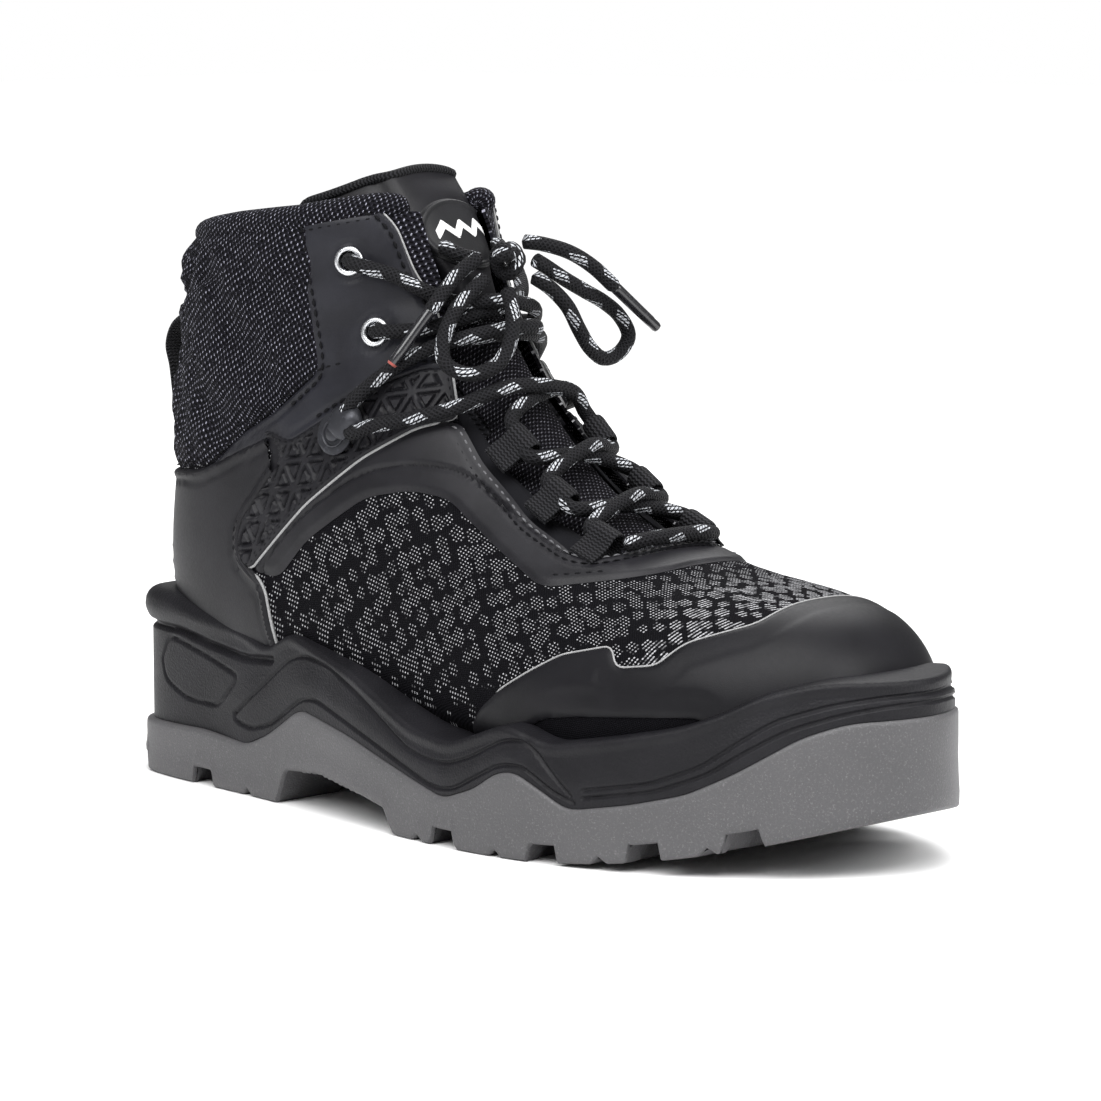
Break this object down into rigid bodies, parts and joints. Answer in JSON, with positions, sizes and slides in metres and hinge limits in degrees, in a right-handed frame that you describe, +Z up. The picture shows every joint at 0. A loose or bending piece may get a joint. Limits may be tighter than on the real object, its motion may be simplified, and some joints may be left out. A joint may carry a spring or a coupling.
{
  "type": "steel toe work boot",
  "caption": "Right-foot mid-cut lace-up safety boot with steel toe cap, cup outsole, padded collar, hooked lacing and heel pull loop.",
  "frame": {"origin": "on the floor, under the middle of the boot's bounding box", "axes": "+X towards the toe, +Y towards the inner side of the foot, +Z up"},
  "size_m": [0.3094, 0.1157, 0.1909],
  "materials": {
    "outsole_rubber": "matt mid grey, finely speckled",
    "midsole_foam": "matt black with a fine moulded grain",
    "knit_textile": "black knit with clusters of small white dots",
    "overlay_film": "smooth satin black film with a fine grain",
    "toe_film": "smooth matt black, slightly rubbery",
    "counter_film": "matt black moulded film",
    "eyestay_film": "smooth blue-black synthetic nubuck",
    "strap_rubber": "matt black with an embossed triangle pattern",
    "collar_mesh": "open black mesh with grey flecks",
    "lining_fabric": "black spacer fabric",
    "foam": "soft open-cell foam",
    "toe_cap_steel": "pressed steel, matt coated",
    "stiffener_board": "fibre board",
    "insole_board": "needled board",
    "footbed_foam": "dark fabric over foam",
    "eyelet_metal": "polished light grey metal",
    "hook_metal": "satin dark blue-grey coating",
    "webbing": "ribbed black polyester webbing",
    "lace_cord": "round black braid with white flecks",
    "aglet_plastic": "clear-coated dark film",
    "tongue_fabric": "black mesh below, smooth synthetic above",
    "badge_rubber": "matt black with a raised light rim and chevrons"
  },
  "bodies": {
    "boot": {"outsole": "outsole_rubber", "midsole": "midsole_foam", "insole_board": "insole_board", "footbed": "footbed_foam", "toe_cap": "toe_cap_steel", "heel_stiffener": "stiffener_board", "vamp": "knit_textile", "collar_cover": "collar_mesh", "collar_foam": "foam", "collar_roll": "lining_fabric", "toe_overlay": "toe_film", "quarter_overlay": "overlay_film", "heel_counter": "counter_film", "strap_lateral": "strap_rubber", "strap_medial": "strap_rubber", "eyestay_lateral": "eyestay_film", "eyestay_medial": "eyestay_film", "eyelets": "eyelet_metal", "hooks": "hook_metal", "hook_rivets": "hook_metal", "webbing_loops": "webbing", "lace": "lace_cord", "lace_knot": "lace_cord", "lining_front": "lining_fabric", "lining_back": "lining_fabric", "quarters": "knit_textile"},
    "tongue": {"tongue_face": "tongue_fabric", "tongue_foam": "foam", "tongue_badge": "badge_rubber"},
    "bow_lateral": {"bow_loop_lateral": "lace_cord", "lace_end_lateral": "lace_cord", "aglet_lateral": "aglet_plastic"},
    "bow_medial": {"bow_loop_medial": "lace_cord", "lace_end_medial": "lace_cord", "aglet_medial": "aglet_plastic"},
    "pull_loop": {"pull_loop": "webbing"}
  },
  "joints": [
    {"name": "tongue_hinge", "type": "hinge", "parent": "boot", "child": "tongue", "pos_m": [0.0529, 0.0081, 0.076], "axis": [0, 1, 0], "range_deg": [-10, 0]},
    {"name": "pull_loop_swing", "type": "hinge", "parent": "boot", "child": "pull_loop", "pos_m": [-0.1355, 0.0081, 0.12], "axis": [0, 0, 1], "range_deg": [-12, 12]},
    {"name": "bow_lateral_swing", "type": "hinge", "parent": "boot", "child": "bow_lateral", "pos_m": [-0.0121, 0.0081, 0.163], "axis": [-1, 0, 0], "range_deg": [0, 45]},
    {"name": "bow_medial_swing", "type": "hinge", "parent": "boot", "child": "bow_medial", "pos_m": [-0.0121, 0.0081, 0.163], "axis": [1, 0, 0], "range_deg": [0, 45]}
  ]
}
